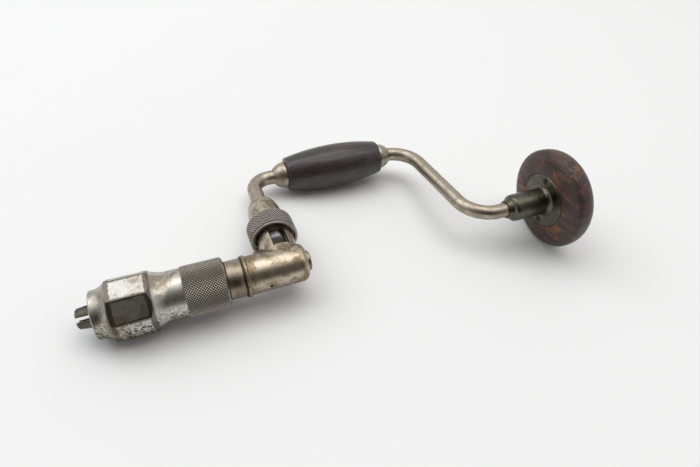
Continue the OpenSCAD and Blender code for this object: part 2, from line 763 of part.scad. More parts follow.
// Mushroom-shaped wooden pad with a pocket for the plate.
module head_pad() {
    n = 14;
    r = pad_d / 2;
    hub = plate_d / 2 + clear;
    front_rim = [for (i = [0:n]) let (a = 90 * i / n)
        [pad_wide - pad_front * pow(cos(a), 0.8), hub + (r - hub) * pow(sin(a), 0.85)]];
    back_rim = [for (i = [1:n]) let (a = 90 * i / n)
        [pad_wide + (pad_t - pad_front) * pow(sin(a), 0.77), r * pow(cos(a), 0.77)]];
    color(rosewood) on_crank() difference() {
        turned(concat([[pad_face, 0]], front_rim, back_rim));
        bar(pad_face - 5, plate_at + plate_t + 0.1, hub);
        screw_holes(seat);
    }
}

module head_collar() {
    color(steel) on_crank() difference() {
        bar(collar_at, collar_at + collar_t, quill_chamber - running);
        bar(collar_at - 1, collar_at + collar_t + 1, rod_r + seat);
        translate([collar_at + collar_t / 2, 0, 0])
            cylinder(h = quill_d * 2, d = collar_pin_d + 2 * seat, center = true);
    }
}

module collar_pin() {
    color(steel) on_crank() translate([collar_at + collar_t / 2, 0, 0])
        cylinder(h = 2 * quill_chamber - 1, d = collar_pin_d, center = true);
}

module head_balls() {
    color(steel) on_crank() for (i = [0:balls - 1]) rotate([360 / balls * i, 0, 0])
        translate([ball_at, ball_circle, 0]) sphere(ball_d / 2, $fn = 32);
}

module head_race() {
    color(steel) on_crank() bar(race_at, plate_at + plate_t, quill_chamber - seat);
}

crank_rod();
ratchet_housing();
front_bush();
thrust_washer();
arm_cap();
arm_pin();
shifter_ring();
detent_ball();
detent_spring();
pawl_upper();
pawl_lower();
pawl_spring_upper();
pawl_spring_lower();
ratchet_gear();
gear_key();
spindle();
end_screw();
chuck_shell();
jaw_upper();
jaw_lower();
jaw_springs();
front_ferrule();
rear_ferrule();
grip();
head_quill();
head_pad();
head_screws();
head_collar();
collar_pin();
head_balls();
head_race();
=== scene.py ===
"""Looks of a bit brace that lies at rest on a pale floor.

The construction comes packed from the frame. This script gives every solid its finish, models the pieces
whose surface is finer than the construction, and sets the studio and the camera. Lengths are in metres.
"""

import logging
import math
from dataclasses import dataclass, field
from enum import Enum

import bpy
from mathutils import Matrix, Vector


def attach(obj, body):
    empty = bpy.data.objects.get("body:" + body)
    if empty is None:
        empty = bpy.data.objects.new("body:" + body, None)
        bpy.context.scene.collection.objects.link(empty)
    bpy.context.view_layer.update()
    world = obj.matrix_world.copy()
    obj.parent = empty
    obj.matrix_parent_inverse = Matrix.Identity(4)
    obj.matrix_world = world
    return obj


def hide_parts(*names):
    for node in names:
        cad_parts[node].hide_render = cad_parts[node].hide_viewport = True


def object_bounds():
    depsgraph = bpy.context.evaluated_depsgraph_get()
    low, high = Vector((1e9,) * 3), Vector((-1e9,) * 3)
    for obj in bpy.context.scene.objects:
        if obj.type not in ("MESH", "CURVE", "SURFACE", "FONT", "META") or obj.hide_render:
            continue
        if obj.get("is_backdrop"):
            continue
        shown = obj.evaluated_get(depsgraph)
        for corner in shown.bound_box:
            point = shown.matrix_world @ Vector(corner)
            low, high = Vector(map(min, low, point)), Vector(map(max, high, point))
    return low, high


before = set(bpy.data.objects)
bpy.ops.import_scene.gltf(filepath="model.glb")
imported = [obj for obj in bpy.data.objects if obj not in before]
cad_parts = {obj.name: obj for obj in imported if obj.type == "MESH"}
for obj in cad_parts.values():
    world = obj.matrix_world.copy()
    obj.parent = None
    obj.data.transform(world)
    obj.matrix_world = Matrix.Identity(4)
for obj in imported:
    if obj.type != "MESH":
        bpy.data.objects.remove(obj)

LOG = logging.getLogger("bit_brace")
MM = 0.001

# Angles of the main axis and of the crank's plane as the brace lies at rest, in radians.
AXIS_PITCH = math.radians(3.7388)
CRANK_ROLL = math.radians(-6.79865)
AXIS_ORIGIN = Vector((-54.8838, -39.6928, 24.969)) * MM
THROW = 101.6 * MM

RGB = tuple[float, float, float]

# Colours of dirt, wear, darkening and painted shade that several finishes share.
BORDER_BROWN: RGB = (0.105, 0.082, 0.056)
# Darker colour toward the chuck's nose.
NOSE_DARKENING: RGB = (0.24, 0.205, 0.15)
# Painted shade that darkens the underside.
UNDERSIDE_SHADE: RGB = (0.10, 0.075, 0.045)
# Near black colour inside the arm's bore.
BORE_BLACK: RGB = (0.018, 0.016, 0.013)
KNURL_GRIME: RGB = (0.20, 0.16, 0.11)
OPEN_PORE: RGB = (0.012, 0.008, 0.007)

# Width of the tarnished border on the octagon's flats, and where its nose begins along the main axis.
BORDER_WIDTH = 1.3 * MM
NOSE_FROM, NOSE_TO = -107 * MM, -105 * MM


def axis_matrix() -> Matrix:
    """Placement of what turns about the main axis.

    Returns:
        The matrix from the brace's own axes, x along the main axis, to the frame.
    """
    return Matrix.Translation(AXIS_ORIGIN) @ Matrix.Rotation(-AXIS_PITCH, 4, "Y")


def crank_matrix() -> Matrix:
    """Placement of what belongs to the crank.

    Returns:
        The matrix from the crank's own axes, y toward the handle, to the frame.
    """
    return axis_matrix() @ Matrix.Rotation(CRANK_ROLL, 4, "X")


class Line(Enum):
    """The lines that turned pieces and grain follow."""

    MAIN = "main"
    ARM = "arm"
    HANDLE = "handle"

    def matrix(self) -> Matrix:
        """Placement whose local z axis runs along the line.

        Returns:
            The matrix from a turning about z to the frame.
        """
        if self is Line.ARM:
            return crank_matrix() @ Matrix.Rotation(math.radians(-90), 4, "X")
        turn = Matrix.Rotation(math.radians(90), 4, "Y")
        shift = THROW if self is Line.HANDLE else 0.0
        return crank_matrix() @ Matrix.Translation((0, shift, 0)) @ turn


@dataclass
class Shader:
    """A node material under construction.

    Attributes:
        name: name of the material.
        line: line that the pattern's z axis follows.
    """

    name: str
    line: Line = Line.MAIN
    material: bpy.types.Material = field(init=False)
    place: bpy.types.NodeSocket = field(init=False)

    def __post_init__(self) -> None:
        """Makes the material with its shader and the coordinates that follow the line."""
        self.material = bpy.data.materials.new(self.name)
        self.material.use_nodes = True
        self.nodes = self.material.node_tree.nodes
        self.bsdf = self.nodes["Principled BSDF"]
        self.place = self.placed(self.line)

    def placed(self, line: Line) -> bpy.types.NodeSocket:
        """The coordinates along a line, z following it.

        Args:
            line: line that the coordinates follow.

        Returns:
            The vector socket.
        """
        coords = self.nodes.new("ShaderNodeTexCoord")
        mapping = self.nodes.new("ShaderNodeMapping")
        inverse = line.matrix().inverted()
        mapping.inputs["Location"].default_value = inverse.to_translation()
        mapping.inputs["Rotation"].default_value = inverse.to_euler("XYZ")
        self.join(coords.outputs["Object"], mapping.inputs["Vector"])
        return mapping.outputs["Vector"]

    def join(self, source: bpy.types.NodeSocket, target: bpy.types.NodeSocket) -> None:
        """Links two sockets."""
        self.material.node_tree.links.new(source, target)

    def feed(self, target: bpy.types.NodeSocket, value: object) -> None:
        """Links a socket, or sets the target where the value is plain.

        Args:
            target: socket that takes the value.
            value: another socket, a number or a colour.
        """
        if isinstance(value, bpy.types.NodeSocket):
            self.join(value, target)
        elif isinstance(value, tuple) and len(value) == 3 and target.type == "RGBA":
            target.default_value = (*value, 1.0)
        else:
            target.default_value = value

    def stretched(self, scale: RGB, shift: RGB = (0.0, 0.0, 0.0)) -> bpy.types.NodeSocket:
        """The coordinates stretched along the line's own axes.

        Args:
            scale: factor on each axis.
            shift: move after the stretch, in metres.

        Returns:
            The vector socket.
        """
        mapping = self.nodes.new("ShaderNodeMapping")
        mapping.inputs["Scale"].default_value = scale
        mapping.inputs["Location"].default_value = shift
        self.join(self.place, mapping.inputs["Vector"])
        return mapping.outputs["Vector"]

    def noise(self, scale: float, detail: float = 4.0, rough: float = 0.55, warp: float = 0.0,
              place: bpy.types.NodeSocket | None = None) -> bpy.types.NodeSocket:
        """A noise pattern.

        Args:
            scale: features per metre.
            detail: octaves.
            rough: share of each further octave.
            warp: distortion.
            place: coordinates, or None for the plain ones.

        Returns:
            The noise's value.
        """
        node = self.nodes.new("ShaderNodeTexNoise")
        node.inputs["Scale"].default_value = scale
        node.inputs["Detail"].default_value = detail
        node.inputs["Roughness"].default_value = rough
        node.inputs["Distortion"].default_value = warp
        self.join(place or self.place, node.inputs["Vector"])
        return node.outputs["Fac"]

    def band(self, value: bpy.types.NodeSocket, low: float, high: float, bottom: float = 0.0,
             top: float = 1.0) -> bpy.types.NodeSocket:
        """Maps a range of a value to another, held at its ends.

        Args:
            value: value to map.
            low: where the output starts to change.
            high: where it has changed.
            bottom: output below low.
            top: output above high.

        Returns:
            The mapped value.
        """
        node = self.nodes.new("ShaderNodeMapRange")
        node.interpolation_type = "SMOOTHSTEP"
        self.join(value, node.inputs["Value"])
        for name, number in (("From Min", low), ("From Max", high), ("To Min", bottom), ("To Max", top)):
            node.inputs[name].default_value = number
        return node.outputs["Result"]

    def math(self, kind: str, first: object, second: object = 0.0) -> bpy.types.NodeSocket:
        """One sum on two values.

        Args:
            kind: operation's name.
            first: first value.
            second: second value.

        Returns:
            The result.
        """
        node = self.nodes.new("ShaderNodeMath")
        node.operation = kind
        self.feed(node.inputs[0], first)
        self.feed(node.inputs[1], second)
        return node.outputs[0]

    def blend(self, share: object, under: object, over: object) -> bpy.types.NodeSocket:
        """Lays one colour over another.

        Args:
            share: how much of the upper colour shows.
            under: lower colour.
            over: upper colour.

        Returns:
            The mixed colour.
        """
        node = self.nodes.new("ShaderNodeMix")
        node.data_type = "RGBA"
        self.feed(node.inputs[0], share)
        self.feed(node.inputs[6], under)
        self.feed(node.inputs[7], over)
        return node.outputs[2]

    def growth_rings(self, scale: float, place: bpy.types.NodeSocket) -> bpy.types.NodeSocket:
        """Wavering rings, like the figure of wood that is cut across its grain.

        Args:
            scale: how close the rings lie.
            place: coordinates.

        Returns:
            The rings' value.
        """
        node = self.nodes.new("ShaderNodeTexWave")
        node.wave_type = "RINGS"
        node.rings_direction = "Z"
        node.inputs["Scale"].default_value = scale
        node.inputs["Distortion"].default_value = 5.0
        node.inputs["Detail"].default_value = 4.0
        node.inputs["Detail Scale"].default_value = 1.6
        self.join(place, node.inputs["Vector"])
        return node.outputs["Fac"]

    def coordinate(self, axis: str, place: bpy.types.NodeSocket | None = None) -> bpy.types.NodeSocket:
        """One coordinate of a place.

        Args:
            axis: X, Y or Z.
            place: coordinates, or None for the plain ones.

        Returns:
            The coordinate in metres.
        """
        node = self.nodes.new("ShaderNodeSeparateXYZ")
        self.join(place or self.place, node.inputs[0])
        return node.outputs[axis]

    def radius(self, place: bpy.types.NodeSocket | None = None) -> bpy.types.NodeSocket:
        """Distance from the line.

        Args:
            place: coordinates, or None for the plain ones.

        Returns:
            The distance in metres.
        """
        x, y = self.coordinate("X", place), self.coordinate("Y", place)
        return self.math("SQRT", self.math("ADD", self.math("MULTIPLY", x, x), self.math("MULTIPLY", y, y)))

    def height(self, low: float, high: float) -> bpy.types.NodeSocket:
        """How low the surface lies above the floor.

        Args:
            low: height where the output is 1, in metres.
            high: height where the output is 0, in metres.

        Returns:
            The share, from 0 to 1.
        """
        coords = self.nodes.new("ShaderNodeTexCoord")
        split = self.nodes.new("ShaderNodeSeparateXYZ")
        self.join(coords.outputs["Object"], split.inputs[0])
        return self.band(split.outputs["Z"], low, high, 1.0, 0.0)

    def flat_borders(self, across: float, near: float, far: float, width: float) -> bpy.types.NodeSocket:
        """Border of every flat of the octagon, ragged like worn tarnish.

        Args:
            across: width of the octagon over its flats, in metres.
            near: end of the flats toward the nose, in metres along the line.
            far: end of the flats toward the sleeve, in metres along the line.
            width: width of the border, in metres.

        Returns:
            The share, 1 on the border.
        """
        along = self.coordinate("Z")
        turn = self.math("ARCTAN2", self.coordinate("Y"), self.coordinate("X"))
        half_step = math.radians(22.5)
        folded = self.math("PINGPONG", self.math("ADD", turn, CRANK_ROLL + 2 * math.pi), half_step)
        reach = self.math("MULTIPLY", self.math("TANGENT", folded), across / 2)
        wander = self.band(self.noise(420, 5, 0.7), 0.3, 0.7, -0.45 * width, 0.45 * width)
        half = across / 2 * math.tan(half_step)
        lateral = self.band(self.math("ADD", reach, wander), half - 1.15 * width, half - 0.75 * width)
        ragged = self.math("ADD", along, wander)
        front = self.band(ragged, near + 0.8 * width, near + 1.2 * width, 1.0, 0.0)
        back = self.band(ragged, far - 1.2 * width, far - 0.8 * width)
        border = self.math("MAXIMUM", lateral, self.math("MAXIMUM", front, back))
        inside = self.math("MULTIPLY", self.band(along, near - 2 * width, near - width),
                           self.band(along, far + width, far + 2 * width, 1.0, 0.0))
        return self.math("MULTIPLY", border, inside)

    def bump(self, height: bpy.types.NodeSocket, depth: float, strength: float = 1.0,
             edge: float = 0.0) -> None:
        """Gives the surface a relief.

        Args:
            height: height pattern from 0 to 1.
            depth: height's size in metres.
            strength: share of the relief that shows.
            edge: radius that softens sharp edges, in metres.
        """
        node = self.nodes.new("ShaderNodeBump")
        node.inputs["Strength"].default_value = strength
        node.inputs["Distance"].default_value = depth
        self.join(height, node.inputs["Height"])
        if edge:
            rounder = self.nodes.new("ShaderNodeBevel")
            rounder.samples = 4
            rounder.inputs["Radius"].default_value = edge
            self.join(rounder.outputs["Normal"], node.inputs["Normal"])
        self.join(node.outputs["Normal"], self.bsdf.inputs["Normal"])

    def finish(self, colour: object, rough: object, metal: float, coat: float = 0.0,
               coat_rough: float = 0.1) -> bpy.types.Material:
        """Sets the shader's sockets.

        Args:
            colour: base colour or its socket.
            rough: roughness or its socket.
            metal: metallic share.
            coat: weight of the polish on top.
            coat_rough: roughness of the polish.

        Returns:
            The finished material.
        """
        self.feed(self.bsdf.inputs["Base Color"], colour)
        self.feed(self.bsdf.inputs["Roughness"], rough)
        self.bsdf.inputs["Metallic"].default_value = metal
        self.bsdf.inputs["Coat Weight"].default_value = coat
        self.bsdf.inputs["Coat Roughness"].default_value = coat_rough
        return self.material


@dataclass(frozen=True)
class WornPlate:
    """Nickel plate with tarnish in clouds and pits that show the steel.

    Attributes:
        name: name of the finish.
        plate: colour of the sound plate.
        tarnish: colour of the tarnish.
        pit: colour in the pits.
        cover: share of the surface that is tarnished, from 0 to 1.
        pits: share of the surface that is pitted, from 0 to 1.
        rough: roughness of the sound plate.
        line: line that the pattern follows.
        edge: radius that softens sharp edges.
        octagon: width over the flats and their two ends, in metres, where the flats have dark borders.
        under: heights, in metres, between which painted shade darkens the underside.
        bore: radius about the arm inside which the metal is near black, in metres.
        grain: factor on the size of the pattern, smaller is finer.
        mottle: how strongly the tarnish's clouds show, from 0 to 1.
    """

    name: str
    plate: RGB = (0.62, 0.58, 0.49)
    tarnish: RGB = (0.25, 0.19, 0.12)
    pit: RGB = (0.045, 0.035, 0.022)
    cover: float = 0.45
    pits: float = 0.4
    rough: float = 0.3
    line: Line = Line.MAIN
    edge: float = 0.35 * MM
    octagon: tuple[float, float, float] | None = None
    under: tuple[float, float] | None = None
    bore: float = 0.0
    grain: float = 1.0
    mottle: float = 0.85

    def build(self) -> bpy.types.Material:
        """Makes the material.

        Returns:
            The finished material.
        """
        sh = Shader(self.name, self.line)
        clouds = sh.noise(85 / self.grain, 6, 0.66, 0.6)
        fine = sh.noise(620 / self.grain, 5, 0.7, 0.3)
        grime = sh.band(clouds, 0.62 - 0.34 * self.cover, 0.78 - 0.3 * self.cover)
        specks = sh.band(fine, 0.66 - 0.14 * self.pits, 0.72 - 0.14 * self.pits)
        patches = sh.band(sh.noise(120, 3, 0.5, 0.4), 0.58 - 0.2 * self.pits, 0.70 - 0.2 * self.pits)
        pitted = sh.math("MULTIPLY", specks, patches)
        if self.octagon:
            low = sh.math("MAXIMUM", sh.height(17 * MM, 31 * MM), 0.1)
            pitted = sh.math("MULTIPLY", pitted, low)
        streak = sh.noise(300, 3, 0.6, 0.0, sh.stretched((1.0, 1.0, 6.0)))
        colour = sh.blend(sh.band(streak, 0.3, 0.75, 0.0, 0.30), self.plate, self.tarnish)
        colour = sh.blend(sh.math("MULTIPLY", grime, self.mottle), colour, self.tarnish)
        if self.octagon:
            border = sh.flat_borders(*self.octagon, BORDER_WIDTH)
            colour = sh.blend(sh.math("MULTIPLY", border, 0.85), colour, BORDER_BROWN)
            # Darker colour toward the nose, in clouds.
            nose = sh.math("MULTIPLY", sh.band(sh.coordinate("Z"), NOSE_FROM, NOSE_TO, 0.75, 0.0),
                           sh.band(clouds, 0.35, 0.6, 0.35, 1.0))
            colour = sh.blend(nose, colour, NOSE_DARKENING)
        # Painted shade: the colour darkens toward the underside, in patches.
        if self.under:
            shade_patches = sh.band(sh.noise(330, 5, 0.7), 0.3, 0.6, 0.5, 1.0)
            share = sh.math("MULTIPLY", sh.height(*self.under), shade_patches)
            colour = sh.blend(sh.math("MULTIPLY", share, 0.8), colour, UNDERSIDE_SHADE)
        colour = sh.blend(pitted, colour, self.pit)
        # Near black colour inside the arm's bore.
        if self.bore:
            arm = sh.placed(Line.ARM)
            inside = sh.math("MULTIPLY", sh.band(sh.radius(arm), self.bore, self.bore + 0.25 * MM, 1.0, 0.0),
                             sh.band(sh.coordinate("Z", arm), 2 * MM, 3 * MM))
            colour = sh.blend(inside, colour, BORE_BLACK)
        rough = sh.math("ADD", sh.band(clouds, 0.3, 0.7, self.rough, self.rough + 0.18),
                        sh.math("MULTIPLY", pitted, 0.3))
        relief = sh.math("SUBTRACT", sh.band(fine, 0.2, 0.8, 0.4, 0.6), sh.math("MULTIPLY", pitted, 0.4))
        sh.bump(relief, 0.09 * MM, 0.7, self.edge)
        return sh.finish(colour, rough, 1.0)


@dataclass(frozen=True)
class Knurl:
    """Knurl with bright worn points and dirt in its valleys.

    Attributes:
        name: name of the finish.
        valley: radius of the valleys.
        point: radius of the points.
        worn: colour of the points.
        dirt: colour of the valleys.
        line: line that the knurl goes round.
    """

    name: str
    valley: float
    point: float
    worn: RGB = (0.66, 0.61, 0.52)
    dirt: RGB = (0.030, 0.025, 0.018)
    line: Line = Line.MAIN

    def build(self) -> bpy.types.Material:
        """Makes the material.

        Returns:
            The finished material.
        """
        sh = Shader(self.name, self.line)
        height = sh.band(sh.radius(), self.valley + 0.12 * (self.point - self.valley),
                         self.valley + 0.72 * (self.point - self.valley))
        clouds = sh.noise(90, 5, 0.6, 0.4)
        colour = sh.blend(height, self.dirt, self.worn)
        colour = sh.blend(sh.band(clouds, 0.45, 0.75, 0.0, 0.5), colour, KNURL_GRIME)
        sh.bump(sh.noise(900, 4, 0.6), 0.03 * MM, 0.5)
        return sh.finish(colour, sh.band(height, 0.0, 1.0, 0.62, 0.36), 1.0)


@dataclass(frozen=True)
class Patina:
    """Steel under an even patina, rubbed in places.

    Attributes:
        name: name of the finish.
        base: colour of the patina.
        rubbed: colour where it is rubbed.
        rough: roughness of the patina.
        line: line that the pattern follows.
        turned: whether fine turning marks go round the line.
    """

    name: str
    base: RGB
    rubbed: RGB
    rough: float = 0.36
    line: Line = Line.MAIN
    turned: bool = False

    def build(self) -> bpy.types.Material:
        """Makes the material.

        Returns:
            The finished material.
        """
        sh = Shader(self.name, self.line)
        clouds = sh.noise(110, 5, 0.6, 0.5)
        fine = sh.noise(1400, 4, 0.6)
        marks = sh.noise(900, 2, 0.5, 0.0, sh.stretched((0.02, 0.02, 1.0)))
        colour = sh.blend(sh.band(clouds, 0.42, 0.7), self.base, self.rubbed)
        if self.turned:
            colour = sh.blend(sh.band(marks, 0.4, 0.65, 0.0, 0.45), colour, self.rubbed)
        sh.bump(marks if self.turned else fine, 0.04 * MM, 0.5, 0.3 * MM)
        return sh.finish(colour, sh.band(clouds, 0.3, 0.7, self.rough, self.rough + 0.14), 1.0)


@dataclass(frozen=True)
class Rosewood:
    """Waxed rosewood with dark grain, pores and lighter figure.

    Attributes:
        name: name of the finish.
        ground: colour between the grain.
        grain: colour of the grain.
        figure: colour of the lighter figure.
        share: share of the lighter figure, from 0 to 1.
        line: line that the pattern follows.
        across: whether the grain runs across the line.
        coat: weight of the polish.
        fine: factor on the size of the grain, smaller is finer.
        sheen: roughness of the polish.
    """

    name: str
    ground: RGB
    grain: RGB
    figure: RGB
    share: float
    line: Line = Line.MAIN
    across: bool = False
    coat: float = 0.35
    fine: float = 1.0
    sheen: float = 0.22

    def build(self) -> bpy.types.Material:
        """Makes the material.

        Returns:
            The finished material.
        """
        sh = Shader(self.name, self.line)
        long_way = (1.0, 0.09, 1.0) if self.across else (1.0, 1.0, 0.07)
        tight = sh.stretched(long_way)
        rings = sh.noise(330 / self.fine, 5, 0.68, 1.2, tight)
        pores = sh.noise(1700, 3, 0.6, 0.0, tight)
        clouds = sh.noise(42, 4, 0.55, 0.9, sh.stretched((1.0, 0.45, 1.0) if self.across else (1, 1, 0.4)))
        lines = sh.band(rings, 0.42, 0.6)
        light = sh.math("MULTIPLY", sh.band(clouds, 0.62 - 0.2 * self.share, 0.74 - 0.12 * self.share),
                        sh.band(rings, 0.62, 0.38))
        holes = sh.band(pores, 0.56, 0.66)
        colour = sh.blend(lines, self.ground, self.grain)
        if self.across:
            figure = sh.growth_rings(34, sh.stretched((1.0, 0.35, 1.0), (0.026, 0.012, 0.0)))
            colour = sh.blend(sh.band(figure, 0.15, 0.75, 0.0, 0.7), colour, self.grain)
        colour = sh.blend(light, colour, self.figure)
        colour = sh.blend(holes, colour, OPEN_PORE)
        rough = sh.math("ADD", sh.band(clouds, 0.3, 0.7, 0.46, 0.58), sh.math("MULTIPLY", holes, 0.25))
        relief = sh.math("SUBTRACT", sh.band(rings, 0.2, 0.8, 0.75, 0.55), sh.math("MULTIPLY", holes, 0.5))
        sh.bump(relief, 0.22 * MM, 1.0)
        return sh.finish(colour, rough, 0.0, self.coat, self.sheen)


def start_edit() -> None:
    """Deselects everything, so that operators act on the new piece alone."""
    if bpy.context.object and bpy.context.object.mode != "OBJECT":
        bpy.ops.object.mode_set(mode="OBJECT")
    bpy.ops.object.select_all(action="DESELECT")


def settle(piece: bpy.types.Object, place: Matrix) -> None:
    """Moves a finished mesh to its place and leaves its object at the origin.

    Args:
        piece: finished object.
        place: placement in the frame.
    """
    piece.data.transform(place)
    piece.matrix_world = Matrix.Identity(4)
    piece.data.update()


def spin_profile(name: str, points: list[tuple[float, float]], line: Line, steps: int = 96,
                 smooth: float = 40.0) -> bpy.types.Object:
    """Turns a profile about a line by spinning an edge chain.

    Args:
        name: name of the piece.
        points: (place along the line, radius) in millimetres.
        line: line that it turns about.
        steps: faces round the line.
        smooth: largest angle in degrees that is shaded smooth.

    Returns:
        The finished object.
    """
    start_edit()
    bpy.ops.mesh.primitive_plane_add(size=0.01)
    piece = bpy.context.object
    piece.name = piece.data.name = name
    corners = [Vector((radius * MM, 0, along * MM)) for along, radius in points]
    bpy.ops.object.mode_set(mode="EDIT")
    bpy.ops.mesh.select_mode(type="VERT")
    bpy.ops.mesh.select_all(action="SELECT")
    bpy.ops.mesh.merge(type="CENTER")
    bpy.ops.transform.translate(value=corners[0])
    for before, after in zip(corners, corners[1:]):
        bpy.ops.mesh.extrude_vertices_move(TRANSFORM_OT_translate={"value": after - before})
    bpy.ops.mesh.select_all(action="SELECT")
    bpy.ops.mesh.spin(steps=steps, angle=2 * math.pi, center=(0, 0, 0), axis=(0, 0, 1))
    bpy.ops.mesh.select_all(action="SELECT")
    bpy.ops.mesh.remove_doubles(threshold=0.002 * MM)
    bpy.ops.mesh.normals_make_consistent(inside=False)
    bpy.ops.object.mode_set(mode="OBJECT")
    bpy.ops.object.shade_smooth_by_angle(angle=math.radians(smooth))
    settle(piece, line.matrix())
    return piece


def knurl_band(name: str, line: Line, start: float, end: float, radius: float, height: float,
               around: int) -> bpy.types.Object:
    """Band of diamond points round a line.

    A tube is cut into squares, each is turned into diamonds, and every diamond is raised to a point.

    Args:
        name: name of the piece.
        line: line that it goes round.
        start: where the band starts, in millimetres.
        end: where the band ends, in millimetres.
        radius: radius of its valleys, in millimetres.
        height: height of its points, in millimetres.
        around: squares round the line.

    Returns:
        The finished object.
    """
    rows = max(2, round((end - start) / (2 * math.pi * radius / around)))
    start_edit()
    bpy.ops.mesh.primitive_cylinder_add(vertices=around, radius=radius * MM, depth=(end - start) * MM,
                                        location=(0, 0, (start + end) / 2 * MM), end_fill_type="NOTHING")
    piece = bpy.context.object
    piece.name = piece.data.name = name
    bpy.ops.object.transform_apply(location=True, rotation=True, scale=True)
    bpy.ops.object.mode_set(mode="EDIT")
    for row in range(1, rows):
        level = (start + (end - start) * row / rows) * MM
        bpy.ops.mesh.select_all(action="SELECT")
        bpy.ops.mesh.bisect(plane_co=(0, 0, level), plane_no=(0, 0, 1))
    bpy.ops.mesh.select_mode(type="FACE")
    bpy.ops.mesh.select_all(action="SELECT")
    bpy.ops.mesh.poke(offset=0.0)
    bpy.ops.object.mode_set(mode="OBJECT")
    limit = 0.02 * MM
    first, last = start * MM, end * MM
    mesh = piece.data
    bpy.ops.object.mode_set(mode="EDIT")
    bpy.ops.mesh.select_mode(type="EDGE")
    bpy.ops.mesh.select_all(action="DESELECT")
    bpy.ops.object.mode_set(mode="OBJECT")
    for edge in mesh.edges:
        a, b = (mesh.vertices[i].co for i in edge.vertices)
        flat = abs(a.z - b.z) < limit
        upright = abs(a.xy.angle(b.xy)) < 0.001
        border = flat and (abs(a.z - first) < limit or abs(a.z - last) < limit)
        edge.select = (flat or upright) and not border
    bpy.ops.object.mode_set(mode="EDIT")
    bpy.ops.mesh.dissolve_edges(use_verts=False)
    bpy.ops.mesh.select_mode(type="FACE")
    bpy.ops.mesh.select_all(action="SELECT")
    bpy.ops.mesh.poke(offset=height * MM)
    bpy.ops.object.mode_set(mode="OBJECT")
    bpy.ops.object.shade_flat()
    settle(piece, line.matrix())
    return piece


def smooth_skin(node: str, limit: float = 24.0) -> bpy.types.Object:
    """Copy of a solid whose small facets are welded and shaded smooth.

    Args:
        node: name of the solid.
        limit: largest angle in degrees that is shaded smooth.

    Returns:
        The copy, which stands for the solid.
    """
    start_edit()
    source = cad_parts[node]
    piece = bpy.data.objects.new(node + "_skin", source.data.copy())
    piece.data.name = piece.name
    bpy.context.scene.collection.objects.link(piece)
    piece.data.transform(source.matrix_world)
    bpy.context.view_layer.objects.active = piece
    piece.select_set(True)
    bpy.ops.object.mode_set(mode="EDIT")
    bpy.ops.mesh.select_all(action="SELECT")
    bpy.ops.mesh.remove_doubles(threshold=0.001 * MM)
    bpy.ops.mesh.customdata_custom_splitnormals_clear()
    bpy.ops.object.mode_set(mode="OBJECT")
    bpy.ops.object.shade_smooth_by_angle(angle=math.radians(limit))
    weighted = piece.modifiers.new("face_weights", "WEIGHTED_NORMAL")
    weighted.keep_sharp = True
    bpy.ops.object.modifier_apply(modifier=weighted.name)
    return piece


def dress(piece: bpy.types.Object, material: bpy.types.Material, body: str) -> None:
    """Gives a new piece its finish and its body.

    Args:
        piece: new piece.
        material: its finish.
        body: body that it rides on.
    """
    piece.data.materials.clear()
    piece.data.materials.append(material)
    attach(piece, body)
    LOG.info("%s: %d faces on %s", piece.name, len(piece.data.polygons), body)


def paint(node: str, material: bpy.types.Material) -> None:
    """Gives a solid of the frame its finish.

    Args:
        node: name of the solid.
        material: its finish.
    """
    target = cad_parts[node]
    if not target.material_slots:
        target.data.materials.append(material)
    for slot in target.material_slots:
        slot.material = material
    LOG.info("%s: %s", node, material.name)


@dataclass
class Chuck:
    """The octagonal shell with its knurled sleeve, the jaws and the spindle.

    Attributes:
        sleeve_start: where the knurl starts behind the octagon, in millimetres.
        sleeve_end: where the knurl ends, in millimetres.
        sleeve_r: radius of the sleeve, in millimetres.
        knurl_h: height of the knurl's points, in millimetres.
        around: diamonds round the sleeve.
    """

    sleeve_start: float = -64.0
    sleeve_end: float = -39.5
    sleeve_r: float = 15.86
    knurl_h: float = 0.45
    around: int = 56

    def build(self) -> None:
        """Builds and dresses the chuck."""
        shell = smooth_skin("chuck_shell", 15)
        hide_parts("chuck_shell")
        dress(shell, WornPlate("pitted_nickel", plate=(0.60, 0.59, 0.55), cover=0.46, pits=1.2, rough=0.25,
                               octagon=(36.4 * MM, -104.4 * MM, -83.5 * MM),
                               under=(7 * MM, 20 * MM)).build(), "shell")
        knurl = knurl_band("sleeve_knurl", Line.MAIN, self.sleeve_start, self.sleeve_end, self.sleeve_r,
                           self.knurl_h, self.around)
        points = Knurl("sleeve_knurl_steel", self.sleeve_r * MM, (self.sleeve_r + self.knurl_h) * MM)
        dress(knurl, points.build(), "shell")
        jaw = WornPlate("jaw_steel", plate=(0.13, 0.115, 0.095), tarnish=(0.06, 0.048, 0.036), cover=0.55,
                        pits=0.5, rough=0.33, edge=0.25 * MM).build()
        for node in ("jaw_upper", "jaw_lower"):
            paint(node, jaw)
        brown = Patina("turned_brown_steel", (0.17, 0.135, 0.09), (0.36, 0.31, 0.24), 0.3,
                       turned=True).build()
        for node in ("spindle", "end_screw"):
            paint(node, brown)


